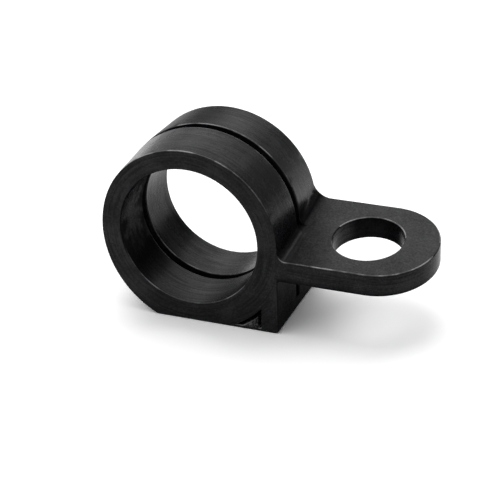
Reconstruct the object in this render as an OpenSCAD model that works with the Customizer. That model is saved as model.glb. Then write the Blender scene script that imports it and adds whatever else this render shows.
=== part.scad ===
// Cable clip: a ring parted into two loops by a slit, on a flat foot, with a lug for a fixing bolt.
// Sizes are in millimetres. X runs from the ring to the lug, Y along the cable and Z up.
// The origin is the centre of the cable bore, half way along it.

/* [Ring] */
// Diameter of the bore that the cable passes through
bore_d = 16; // [12:0.5:20]
// Thickness of the ring's wall
wall_t = 2.2; // [1.8:0.1:3]
// Width of the clip along the cable
clip_w = 12.7; // [11.5:0.1:18]
// How much the ring's outside grows from the clip's faces to the slit, where the mould parts
draft = 0.3; // [0:0.05:0.4]

/* [Slit] */
// Width of the slit that parts the ring into two loops
slit_w = 1; // [0.6:0.1:1.6]
// How far the slit runs out past the ring's outside, into the leg and the root fillets
slit_run = 3.2; // [2.6:0.1:3.4]

/* [Lug] */
// Thickness of the lug
lug_t = 2.45; // [2:0.05:3.5]
// How far the lug's top lies below the bore's axis
lug_drop = 0.3; // [0:0.1:1.5]
// Lean of the lug about X, in degrees, with its back edge the higher one
lug_lean = 8.5; // [0:0.5:10]
// Diameter of the hole for the fixing bolt
hole_d = 7.8; // [4.5:0.1:8.2]
// Distance from the ring's outside to the hole's centre
hole_reach = 8.2; // [7.5:0.1:12]
// Width of the rim between the hole and the lug's round end
tip_rim = 3.9; // [2.4:0.1:5]

/* [Root fillets] */
// Radius of the fillet between the front loop and the lug's top
front_root_r = 1.1; // [0.5:0.1:1.6]
// Radius of the fillet between the back loop and the lug's top, beside the slit
mid_root_r = 1.1; // [0.5:0.1:1.6]
// Radius of that fillet at the clip's back face
back_root_r = 2.3; // [0.5:0.1:2.4]
// Radius of the fillet between the leg and the lug's underside
under_root_r = 0.5; // [0.3:0.1:1]

/* [Foot] */
// Thickness of the leg that stands under the lug's root
leg_t = 2; // [1.4:0.1:2.4]
// Radius of the foot's outer corner under the lug
corner_r = 0.4; // [0.2:0.1:0.8]
// How far the heel moves the ring's outline out, on the side away from the lug
heel_shift = 0.95; // [0.6:0.05:1.3]
// Direction of that move, in degrees below the X axis
heel_dip = 18; // [12:1:24]

/* [Pocket] */
// Thickness of the pocket's floor
floor_t = 0.35; // [0.3:0.05:0.9]
// Extra wall that the pocket leaves round the ring's outside
pocket_gap = 0.95; // [0.5:0.05:1]
// Gap that the pocket leaves round the three-sided rib on its floor
rib_gap = 0.4; // [0.25:0.05:0.45]

/* [Hidden] */
bore_r = bore_d / 2;
ring_r = bore_r + wall_t;
half_w = clip_w / 2;
lug_top = -lug_drop;
lug_bottom = lug_top - lug_t;
lug_start_x = (bore_r + ring_r) / 2;
hole_x = ring_r + hole_reach;
lug_end_x = hole_x + hole_d / 2 + tip_rim - half_w;
slit_r = ring_r + slit_run;
heel_r = ring_r + heel_shift;
heel_x = heel_shift * cos(heel_dip);
heel_z = -heel_shift * sin(heel_dip);
pocket_r = ring_r + pocket_gap;
pocket_x = ring_r - leg_t;
pocket_z = -ring_r + floor_t;
sink = 0.04;
over = 1;
thin = 0.01;
$fn = 96;

// Height of the leaning lug's top at a place along the clip
function top_at(y) = y * tan(lug_lean) + lug_top / cos(lug_lean);

// Radius of the ring's outside at that place
function ring_at(y) = ring_r + draft * (1 - abs(y) / half_w);

// Centre of a ball of radius r that sinks a little into the ring's outside and the lug's top at that place
function ball_z(y, r) = top_at(y) + (r - sink) / cos(lug_lean);
function ball_x(y, r) = sqrt(pow(ring_at(y) + r - sink, 2) - pow(ball_z(y, r), 2));
function ball(y, r) = [ball_x(y, r), y, ball_z(y, r)];

// Takes a flat outline in X and Z to a body that runs along Y from one place to another
module along_y(from, to) {
    translate([0, to, 0])
        rotate([90, 0, 0])
            linear_extrude(to - from)
                children();
}

// Turns a body about X to the lug's lean
module leaning() {
    rotate([lug_lean, 0, 0])
        children();
}

// A round bar from one point to another, of one radius at each
module bar(p, r_p, q, r_q) {
    run = q - p;
    translate(p)
        rotate([0, acos(run[2] / norm(run)), atan2(run[1], run[0])])
            cylinder(h = norm(run), r1 = r_p, r2 = r_q);
}

// A round body that tapers by the draft from the slit to the clip's faces
module drafted_round(r) {
    rotate([90, 0, 0])
        cylinder(h = half_w, r1 = r + draft, r2 = r);
    rotate([-90, 0, 0])
        cylinder(h = half_w, r1 = r + draft, r2 = r);
}

// The heel: a larger round that leaves the ring's outside where the two touch
module heel() {
    intersection() {
        translate([heel_x, 0, heel_z])
            drafted_round(heel_r);
        rotate([0, heel_dip, 0])
            translate([-2 * ring_r, -clip_w, -2 * ring_r])
                cube([2.4 * ring_r, 2 * clip_w, 2 * ring_r]);
    }
}

// The ring and its heel, cut level with the foot
module ring() {
    difference() {
        union() {
            drafted_round(ring_r);
            heel();
        }
        translate([-2 * ring_r, -clip_w, -3 * ring_r])
            cube([4 * ring_r, 2 * clip_w, 2 * ring_r]);
    }
}

// The quarter that fills the ring's outline down to the foot on the lug's side
module foot_outline() {
    translate([0, -ring_r])
        square([ring_r - corner_r, 1.5 * ring_r]);
    translate([0, -ring_r + corner_r])
        square([ring_r, 1.5 * ring_r - corner_r]);
    translate([ring_r - corner_r, -ring_r + corner_r])
        circle(corner_r);
}

// A three-sided outline in the corner between the ring and the leg, drawn in by an inset
module corner_outline(inset) {
    difference() {
        translate([0, pocket_z])
            square([pocket_x - inset, ring_r]);
        circle(pocket_r + inset);
    }
}

// The pocket that cores this corner, with a rib left standing on its floor
module pocket_outline() {
    difference() {
        corner_outline(0);
        corner_outline(rib_gap);
    }
}

// The foot and its leg, which end inside the leaning lug
module foot() {
    difference() {
        along_y(-half_w, half_w)
            foot_outline();
        leaning()
            translate([-over, -clip_w, (lug_top + lug_bottom) / 2])
                cube([2 * ring_r, 2 * clip_w, 2 * ring_r]);
        along_y(-half_w - over, half_w + over)
            pocket_outline();
    }
}

// The section that a root fillet is cut from, at one place along the clip
module root_outline(y, r) {
    touch = ring_at(y) / (ring_at(y) + r);
    polygon([
        [ball_x(y, r) * touch * 0.9, ball_z(y, r) * touch * 0.9],
        [ball_x(y, r), ball_z(y, r)],
        [ball_x(y, r), top_at(y) - lug_t / 4],
        [ring_r * 0.9, top_at(y) - lug_t / 4]
    ]);
}

// A fillet between a loop's outside and the lug's top, whose radius may grow on its way
module root_fillet(from, r_from, to, r_to) {
    more = 0.1;
    run = more * (ball(to, r_to) - ball(from, r_from));
    grow = more * (r_to - r_from);
    difference() {
        hull() {
            along_y(from, from + thin)
                root_outline(from, r_from);
            along_y(to - thin, to)
                root_outline(to, r_to);
        }
        bar(ball(from, r_from) - run, r_from - grow, ball(to, r_to) + run, r_to + grow);
    }
}

// The root fillets of the two loops, run past the clip's faces and cut level with them
module root_fillets() {
    grow = (back_root_r - mid_root_r) * over / half_w;
    intersection() {
        union() {
            root_fillet(-half_w - over, front_root_r, 0, front_root_r);
            root_fillet(0, mid_root_r, half_w + over, back_root_r + grow);
        }
        translate([0, -half_w, -ring_r])
            cube([2 * ring_r, clip_w, 2 * ring_r]);
    }
}

// The fillet in the corner between the leg's face and the lug's underside
module under_root() {
    intersection() {
        leaning()
            difference() {
                translate([lug_start_x, -clip_w, lug_bottom - under_root_r])
                    cube([ring_r - lug_start_x + under_root_r, 2 * clip_w, under_root_r + lug_t / 2]);
                translate([ring_r + under_root_r - sink, 0, lug_bottom - under_root_r + sink])
                    rotate([90, 0, 0])
                        cylinder(h = 3 * clip_w, r = under_root_r, center = true);
            }
        translate([0, -half_w, -ring_r])
            cube([2 * ring_r, clip_w, 2 * ring_r]);
    }
}

// Ring, heel, foot and root fillets, before the slit and the bore
module loops() {
    ring();
    foot();
    root_fillets();
    under_root();
}

// The slit, a flat round cut half way along the bore
module slit() {
    rotate([90, 0, 0])
        cylinder(h = slit_w, r = slit_r, center = true);
}

// The lug: a leaning slab with upright sides and a full-round end. The slit leaves it whole,
// and it starts half way through the ring's wall, so that the slit runs all round the bore.
module lug() {
    intersection() {
        translate([0, 0, -ring_r])
            linear_extrude(2 * ring_r)
                union() {
                    translate([lug_start_x, -half_w])
                        square([lug_end_x - lug_start_x, clip_w]);
                    translate([lug_end_x, 0])
                        circle(half_w);
                }
        leaning()
            translate([-over, -clip_w, lug_bottom])
                cube([lug_end_x + clip_w, 2 * clip_w, lug_t]);
    }
}

module clip_body() {
    color([0.05, 0.05, 0.055])
        difference() {
            union() {
                difference() {
                    loops();
                    slit();
                }
                lug();
            }
            rotate([90, 0, 0])
                cylinder(h = clip_w + 2 * over, r = bore_r, center = true);
            translate([hole_x, 0, 0])
                cylinder(h = 2 * ring_r, d = hole_d, center = true);
        }
}

clip_body();
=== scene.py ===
import math

import bmesh
import bpy
from mathutils import Matrix, Vector


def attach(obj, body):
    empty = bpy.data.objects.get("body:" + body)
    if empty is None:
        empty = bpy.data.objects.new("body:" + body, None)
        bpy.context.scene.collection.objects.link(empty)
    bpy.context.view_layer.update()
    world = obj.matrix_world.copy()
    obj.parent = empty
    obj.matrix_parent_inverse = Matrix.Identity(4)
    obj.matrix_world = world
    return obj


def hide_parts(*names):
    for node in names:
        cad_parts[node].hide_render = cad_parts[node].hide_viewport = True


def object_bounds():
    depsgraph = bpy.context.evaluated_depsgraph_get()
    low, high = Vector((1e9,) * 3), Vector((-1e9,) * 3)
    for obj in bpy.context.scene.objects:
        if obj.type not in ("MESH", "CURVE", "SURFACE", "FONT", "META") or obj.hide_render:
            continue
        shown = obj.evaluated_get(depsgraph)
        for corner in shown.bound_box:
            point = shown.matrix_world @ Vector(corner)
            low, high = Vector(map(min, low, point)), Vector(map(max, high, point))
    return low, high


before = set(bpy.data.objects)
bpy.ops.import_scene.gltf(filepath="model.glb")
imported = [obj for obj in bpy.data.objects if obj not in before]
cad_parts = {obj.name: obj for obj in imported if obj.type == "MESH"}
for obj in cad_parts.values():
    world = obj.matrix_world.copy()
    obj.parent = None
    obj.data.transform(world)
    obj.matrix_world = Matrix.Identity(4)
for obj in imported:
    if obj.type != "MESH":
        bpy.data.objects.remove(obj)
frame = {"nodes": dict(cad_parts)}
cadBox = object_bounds()
print("frame loaded:", ", ".join(frame["nodes"]))


class Value:
    # a shader socket that Python's own operators work on
    def __init__(self, graph, socket):
        self.graph = graph
        self.socket = socket

    def beside(self, output):
        # another output of the same node
        return Value(self.graph, self.socket.node.outputs[output])

    def maths(self, operation, *inputs):
        return self.graph.add("Math", {"operation": operation}, dict(enumerate(inputs)))

    def __add__(self, other):
        return self.maths("ADD", self, other)

    def __radd__(self, other):
        return self.maths("ADD", other, self)

    def __sub__(self, other):
        return self.maths("SUBTRACT", self, other)

    def __rsub__(self, other):
        return self.maths("SUBTRACT", other, self)

    def __mul__(self, other):
        return self.maths("MULTIPLY", self, other)

    def __rmul__(self, other):
        return self.maths("MULTIPLY", other, self)

    def __pow__(self, other):
        return self.maths("POWER", self, other)

    def __rpow__(self, other):
        return self.maths("POWER", other, self)

    def between(self, none, full):
        # 0 up to none and 1 from full on, smooth on the way; full may be the lower one
        sockets = {"Value": self, "From Min": none, "From Max": full}
        return self.graph.add("MapRange", {"interpolation_type": "SMOOTHSTEP"}, sockets, "Result")


class Graph:
    # the node tree of one material or of the world
    def __init__(self, tree):
        self.tree = tree
        self.tree.nodes.clear()

    def add(self, kind, settings=None, sockets=None, output=0):
        node = self.tree.nodes.new("ShaderNode" + kind)
        for name, setting in (settings or {}).items():
            setattr(node, name, setting)
        for name, value in (sockets or {}).items():
            if isinstance(value, Value):
                self.tree.links.new(value.socket, node.inputs[name])
            else:
                node.inputs[name].default_value = value
        return Value(self, node.outputs[output]) if len(node.outputs) else node

    def mix(self, factor, first, second):
        # of two colours
        return self.add("Mix", {"data_type": "RGBA"}, {"Factor": factor, 6: first, 7: second}, 2)

    def noise(self, place, pattern):
        return self.add("TexNoise", {}, {"Vector": place, **pattern})


def newMaterial(name):
    material = bpy.data.materials.new(name)
    material.use_nodes = True
    return material, Graph(material.node_tree)


nylon = {
    # the clip's own sizes that the finish goes by, in millimetres
    "ringRadius": 10.2,
    "boreRadius": 8.0,
    "holePlace": 18.4,
    "holeRadius": 3.9,
    "lugTop": -0.3,
    "lugLean": math.radians(8.5),

    "colour": (0.0030, 0.0030, 0.0036, 1),
    "paleColour": (0.0080, 0.0080, 0.0096, 1),  # where the skin is rubbed
    "ribColour": (0.130, 0.130, 0.132, 1),  # painted light: the rib's front end is paler, standing in for the light that falls into the pocket
    "edgeWearAndHighlightColour": (0.220, 0.220, 0.228, 1),  # worn edges, and a painted highlight on the edges that face up
    "gloss": 0.065,  # specular level below the skin
    "roughness": 0.27,
    "roughnessMore": {"lugFace": 0.18, "blotch": 0.16, "grain": 0.10},
    "blotch": {"Scale": 0.33, "Detail": 4.0, "Roughness": 0.62},  # scales are in a millimetre
    "grain": {"Scale": 4.3, "Detail": 3.0, "Roughness": 0.65},
    "grainBump": {"Strength": 0.6, "Distance": 0.000018},
    "streak": {"Scale": 1.0, "Detail": 3.0, "Roughness": 0.65},  # tool marks
    "streakAcross": 5.2,  # across their run
    "streakRound": 1.6,  # along it, on the ring, in a radian
    "streakAlong": 0.15,  # along it, on the lug
    "streakOnLug": 0.3,  # share that is left on the lug's face
    "streakBump": {"Strength": 0.5, "Distance": 0.000010},
    "rubbedBlotch": (0.42, 0.70),  # levels of the noise between which the skin turns pale
    "rubbedGrain": (0.40, 0.65),
    "wornBlotch": (0.42, 0.60),  # levels between which an edge is worn
    "edgeHighlightLeast": 0.22,  # painted highlight that each up-facing rounded edge has at least

    # the glossy skin, and where there is more or less of it
    "skinIndex": 1.5,
    "skinRoughness": 0.3,
    "skinWeight": 0.105,
    "skinMore": {"blotch": 0.30, "streak": 0.75, "grain": 0.24, "lugGrain": 0.40, "wornAndHighlit": 0.70},
    "skinZones": {"washer": 0.14, "lugFace": -0.02, "ringSide": 0.42, "frontLeft": 0.20, "rootFoot": 0.16},

    # how dull it is, up to 1, where it isn't glossy
    "mattRoughness": 0.75,
    "mattZones": {"rootFillet": 0.70, "leg": 0.80, "holeBack": 0.80, "backLeft": 0.55},
    "mattLug": 0.30,  # the lug's face where no washer rubs it
    "mattBore": 0.70,
    "mattBoreMore": 0.25,  # in blotches
    "mattBoreBlotch": (0.40, 0.58),
    "boreRubbed": 0.85,  # share of this that a cable takes off the bore's floor
    "boreRubbedLess": 0.45,  # less of it on the right

    # what bounds a zone, with the place where it starts and the place where it is full, in millimetres;
    # frontLeft and backLeft are the upper left of the front and the back loop
    "zones": {
        "lug": [("fromLeg", 0, 1.22)],
        "lugFace": [("fromLeg", 0, 1.22), ("fromLugTop", -0.17, -0.04)],
        "washer": [("fromLeg", 0, 1.22), ("fromLugTop", -0.17, -0.04), ("slant", 1.4, 5.1)],
        "rootFoot": [
            ("fromLeg", 0.5, 0.8), ("fromLeg", 1.5, 1.2), ("fromLugTop", -0.22, -0.12), ("y", -0.5, -0.8),
        ],
        "rootFillet": [("fromRing", 0.35, 0.60), ("fromLugTop", 0.06, 0.38)],
        "holeBack": [("fromHole", 0.06, 0.02), ("x", 20.9, 18.9), ("y", 2.2, 3.2)],
        # the rib's front end, where a pale patch of painted light goes
        "rib": [("fromRing", 1.15, 1.25), ("fromLeg", -2.1, -2.2), ("fromFoot", 0.3, 0.4)],
        "leg": [("fromLeg", -0.10, -0.05), ("z", -3.0, -3.6)],
        "frontBore": [("fromBore", 0.10, 0.06), ("y", -0.2, -0.6)],
        "boreFloor": [("z", -4.5, -6.8)],
        "boreRight": [("x", 1.5, 4.0)],
        "ringSide": [("fromRing", -0.06, -0.02), ("x", 5.0, 8.0), ("z", 4.0, 6.5)],
        "frontLeft": [("fromRing", -0.06, -0.02), ("x", -1.0, -3.0), ("y", 0.3, -0.3), ("z", 6.5, 9.2)],
        "backLeft": [("fromRing", -0.06, -0.02), ("x", 3.0, -1.5), ("y", -0.3, 0.3), ("z", 6.5, 9.2)],
    },
    "slant": 0.30,  # a washer's rubbing starts nearer the ring at the back
}


def blackNylon():
    material, graph = newMaterial("blackNylon")
    metres = graph.add("TexCoord", output="Object")
    place = graph.add("VectorMath", {"operation": "SCALE"}, {0: metres, "Scale": 1000})  # in millimetres
    x = graph.add("SeparateXYZ", sockets={0: place})
    y = x.beside(1)
    z = x.beside(2)
    radius = (x * x + z * z) ** 0.5
    pastHole = x - nylon["holePlace"]
    lugHeight = z * math.cos(nylon["lugLean"]) - y * math.sin(nylon["lugLean"])
    fromLeg = x - nylon["ringRadius"]
    measures = {
        "x": x,
        "y": y,
        "z": z,
        "fromLeg": fromLeg,
        "fromFoot": z + nylon["ringRadius"],
        "fromRing": radius - nylon["ringRadius"],
        "fromBore": radius - nylon["boreRadius"],
        "fromHole": (pastHole * pastHole + y * y) ** 0.5 - nylon["holeRadius"],
        "fromLugTop": lugHeight - nylon["lugTop"],
        "slant": fromLeg + y * nylon["slant"],
    }

    def zone(name):
        bounds = nylon["zones"][name]
        return math.prod(measures[measure].between(none, full) for measure, none, full in bounds)

    def inZones(amounts):
        return sum(zone(name) * amount for name, amount in amounts.items())

    onLug = zone("lug")
    lugFace = zone("lugFace")

    # tool marks run round the bore on the ring, and lengthwise on the lug's side
    across = nylon["streakAcross"]
    angle = x.maths("ARCTAN2", z, x)
    ringRun = {0: angle * nylon["streakRound"], 1: radius * across, 2: y * across}
    lugRun = {0: x * nylon["streakAlong"], 1: y * nylon["streakAlong"], 2: lugHeight * across}
    runs = {4: graph.add("CombineXYZ", {}, ringRun), 5: graph.add("CombineXYZ", {}, lugRun)}
    run = graph.add("Mix", {"data_type": "VECTOR"}, {"Factor": onLug, **runs}, 1)

    streak = graph.noise(run, nylon["streak"])
    grain = graph.noise(place, nylon["grain"])
    blotch = graph.noise(place, nylon["blotch"])
    marked = (streak - 0.5) * (1 - lugFace * (1 - nylon["streakOnLug"]))

    rubbedAndLit = blotch.between(*nylon["rubbedBlotch"]) * 0.5 + grain.between(*nylon["rubbedGrain"]) * 0.5
    skinColour = graph.mix(rubbedAndLit, nylon["colour"], nylon["paleColour"])
    # the rib's front end gets a painted lit patch, paler in the same random blotches
    ribColour = graph.mix(rubbedAndLit, nylon["colour"], nylon["ribColour"])
    # rounded edges that face up are paler: a painted highlight, broken up by wear in blotches; it also
    # makes them glossier
    edge = graph.add("Attribute", {"attribute_name": "edgeHighlightShare"}, output="Fac")
    wornAndHighlit = edge * (nylon["edgeHighlightLeast"] + blotch.between(*nylon["wornBlotch"]) * (1 - nylon["edgeHighlightLeast"]))
    colour = graph.mix(wornAndHighlit, graph.mix(zone("rib"), skinColour, ribColour), nylon["edgeWearAndHighlightColour"])

    more = nylon["roughnessMore"]
    roughness = nylon["roughness"] + lugFace * more["lugFace"]
    roughness = roughness + (blotch - 0.5) * more["blotch"] + (grain - 0.5) * more["grain"]

    more = nylon["skinMore"]
    weight = nylon["skinWeight"] + inZones(nylon["skinZones"])
    weight = weight + (blotch - 0.5) * more["blotch"] + marked * more["streak"] + wornAndHighlit * more["wornAndHighlit"]
    weight = weight + (grain - 0.5) * (more["grain"] + lugFace * more["lugGrain"])
    weight = weight.maths("MAXIMUM", weight.maths("MINIMUM", weight, 1), 0)

    boreRubbed = zone("boreFloor") * (nylon["boreRubbed"] - zone("boreRight") * nylon["boreRubbedLess"])
    boreDull = nylon["mattBore"] + blotch.between(*nylon["mattBoreBlotch"]) * nylon["mattBoreMore"]
    dull = zone("frontBore") * boreDull * (1 - boreRubbed)
    dull = dull + (lugFace - zone("washer")) * nylon["mattLug"] + inZones(nylon["mattZones"])

    marks = graph.add("Bump", {}, {**nylon["streakBump"], "Height": marked})
    relief = graph.add("Bump", {}, {**nylon["grainBump"], "Height": grain, "Normal": marks})
    sheen = graph.add("BsdfPrincipled", {}, {
        "Base Color": colour,
        "Roughness": roughness,
        "Specular IOR Level": nylon["gloss"],
        "Coat Weight": weight,
        "Coat IOR": nylon["skinIndex"],
        "Coat Roughness": nylon["skinRoughness"],
        "Normal": relief,
    })
    matt = graph.add("BsdfPrincipled", {}, {
        "Base Color": colour,
        "Roughness": nylon["mattRoughness"],
        "Specular IOR Level": 0,
        "Normal": relief,
    })
    surface = graph.add("MixShader", {}, {0: dull, 1: sheen, 2: matt})
    graph.add("OutputMaterial", {}, {"Surface": surface})
    return material


moulding = {
    "mergeWithin": 2e-6,
    "flatWithin": math.radians(0.4),  # between faces that count as one flat
    "sharpFrom": math.radians(48),  # between faces that make an edge
    "edgeRound": 0.00013,
    "edgeSteps": 3,
    "slitEnd": 0.0096,  # beyond it, the slit's own edges get no painted highlight
    "slitSide": 0.0012,
    "rubbedAndLit": (0.25, 0.70),  # how far up a face looks where its painted edge highlight starts, and where it is in full
    "flatWeight": 100,  # large faces keep their own shading
}


def edgeHighlightFacing(face):
    middle = face.calc_center_median()
    if middle.x > moulding["slitEnd"] and abs(middle.y) < moulding["slitSide"]:
        return 0.0
    none, full = moulding["rubbedAndLit"]
    return min(1.0, max(0.0, (face.normal.z - none) / (full - none)))


def clipMoulding():
    shape = bmesh.new()
    shape.from_mesh(frame["nodes"]["clip_body"].data)
    edgeHighlightMark = shape.faces.layers.float.new("edgeHighlightShare")
    bmesh.ops.remove_doubles(shape, verts=shape.verts[:], dist=moulding["mergeWithin"])
    bmesh.ops.dissolve_limit(
        shape, angle_limit=moulding["flatWithin"], verts=shape.verts[:], edges=shape.edges[:]
    )
    closed = [edge for edge in shape.edges if edge.is_manifold]
    sharp = [edge for edge in closed if edge.calc_face_angle() > moulding["sharpFrom"]]
    print("moulding:", len(sharp), "edges to round,", len(shape.edges) - len(closed), "open")
    rounded = bmesh.ops.bevel(
        shape, geom=sharp, offset=moulding["edgeRound"], offset_type="OFFSET", affect="EDGES",
        segments=moulding["edgeSteps"], profile=0.5, material=-1, clamp_overlap=False,
    )
    # each rounded edge gets a painted highlight by how far up it faces
    for face in rounded["faces"]:
        face[edgeHighlightMark] = edgeHighlightFacing(face)
    for face in shape.faces:
        face.smooth = True
    mesh = bpy.data.meshes.new("clip")
    shape.to_mesh(mesh)
    shape.free()
    piece = bpy.data.objects.new("clip", mesh)
    bpy.context.scene.collection.objects.link(piece)
    mesh.materials.append(blackNylon())
    normals = piece.modifiers.new("flatFaces", "WEIGHTED_NORMAL")
    normals.weight = moulding["flatWeight"]
    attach(piece, "root")
    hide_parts("clip_body")
    return piece


clip = clipMoulding()
print("clip:", len(clip.data.polygons), "faces")

studio = {
    "floorHeight": cadBox[0][2],
    "floorSize": 6.0,
    "floorColour": (0.9, 0.9, 0.9, 1),
    "floorLift": (0.32, 0.32, 0.32, 1),  # added where the floor is seen, so that the open floor is white
    "skyTop": (-0.46, 0.05, 0.88),  # the bright side of the room
    "skyFade": (-0.1, 1.0),
    "skyLow": 0.125,
    "skyHigh": 1.14,
    "lamps": {
        "backBox": {"from": (-0.14, 0.61, 0.78), "spread": 64, "level": 0.96},
        "topBox": {"from": (-0.14, 0.07, 0.99), "spread": 28, "level": 0.38},
    },
}


def seenRays(graph):
    # 1 for what the camera sees straight, in a reflection or through glass
    eye = graph.add("LightPath", output="Is Camera Ray")
    glossy = eye.beside("Is Glossy Ray")
    through = eye.beside("Is Transmission Ray")
    return eye.maths("MAXIMUM", eye, glossy.maths("MAXIMUM", glossy, through))


def paleFloor():
    shape = bmesh.new()
    bmesh.ops.create_grid(shape, x_segments=1, y_segments=1, size=studio["floorSize"] / 2)
    bmesh.ops.translate(shape, verts=shape.verts[:], vec=(0, 0, studio["floorHeight"]))
    mesh = bpy.data.meshes.new("floor")
    shape.to_mesh(mesh)
    shape.free()
    floor = bpy.data.objects.new("floor", mesh)
    bpy.context.scene.collection.objects.link(floor)
    material, graph = newMaterial("whitePaper")
    paper = graph.add("BsdfDiffuse", {}, {"Color": studio["floorColour"]})
    lift = graph.add("BsdfDiffuse", {}, {"Color": studio["floorLift"]})
    white = graph.add("AddShader", {}, {0: paper, 1: lift})
    both = graph.add("MixShader", {}, {0: seenRays(graph), 1: paper, 2: white})
    graph.add("OutputMaterial", {}, {"Surface": both})
    mesh.materials.append(material)


def softLight():
    world = bpy.data.worlds.new("studio")
    bpy.context.scene.world = world
    world.use_nodes = True
    graph = Graph(world.node_tree)
    way = graph.add("TexCoord", output="Generated")
    top = tuple(Vector(studio["skyTop"]).normalized())
    high = graph.add("VectorMath", {"operation": "DOT_PRODUCT"}, {0: way, 1: top}, "Value")
    level = studio["skyLow"] + high.between(*studio["skyFade"]) * (studio["skyHigh"] - studio["skyLow"])
    grey = graph.add("CombineXYZ", {}, {0: level, 1: level, 2: level})
    sky = graph.add("Background", {}, {"Color": grey})
    graph.add("OutputWorld", {}, {"Surface": sky})
    for name, box in studio["lamps"].items():
        lamp = bpy.data.lights.new(name, "SUN")
        lamp.angle = math.radians(box["spread"])
        lamp.energy = box["level"]
        light = bpy.data.objects.new(name, lamp)
        light.rotation_euler = Vector(box["from"]).to_track_quat("Z", "Y").to_euler()
        bpy.context.scene.collection.objects.link(light)


paleFloor()
softLight()
print("studio: floor and soft light")

view = {
    "aim": (0.00566, -0.00231, -0.00274),  # in the picture's middle
    "reach": 0.19,
    "turn": math.radians(22.32),  # about z, from the clip's front
    "height": math.radians(27.69),  # above the floor
    "roll": math.radians(-2.02),
    "lens": 124.56,
    "sensor": 36,
    "clipStart": 0.005,
}


def photoCamera():
    data = bpy.data.cameras.new("camera")
    data.sensor_fit = "HORIZONTAL"
    data.sensor_width = view["sensor"]
    data.lens = view["lens"]
    data.clip_start = view["clipStart"]
    camera = bpy.data.objects.new("camera", data)
    tilt = Matrix.Rotation(math.pi / 2 - view["height"], 4, "X")
    turn = Matrix.Rotation(view["turn"], 4, "Z") @ tilt @ Matrix.Rotation(view["roll"], 4, "Z")
    camera.matrix_world = Matrix.Translation(view["aim"]) @ turn @ Matrix.Translation((0, 0, view["reach"]))
    bpy.context.scene.collection.objects.link(camera)
    bpy.context.scene.camera = camera


photoCamera()
bpy.context.scene.view_settings.view_transform = "Standard"
print("camera: lens", view["lens"])
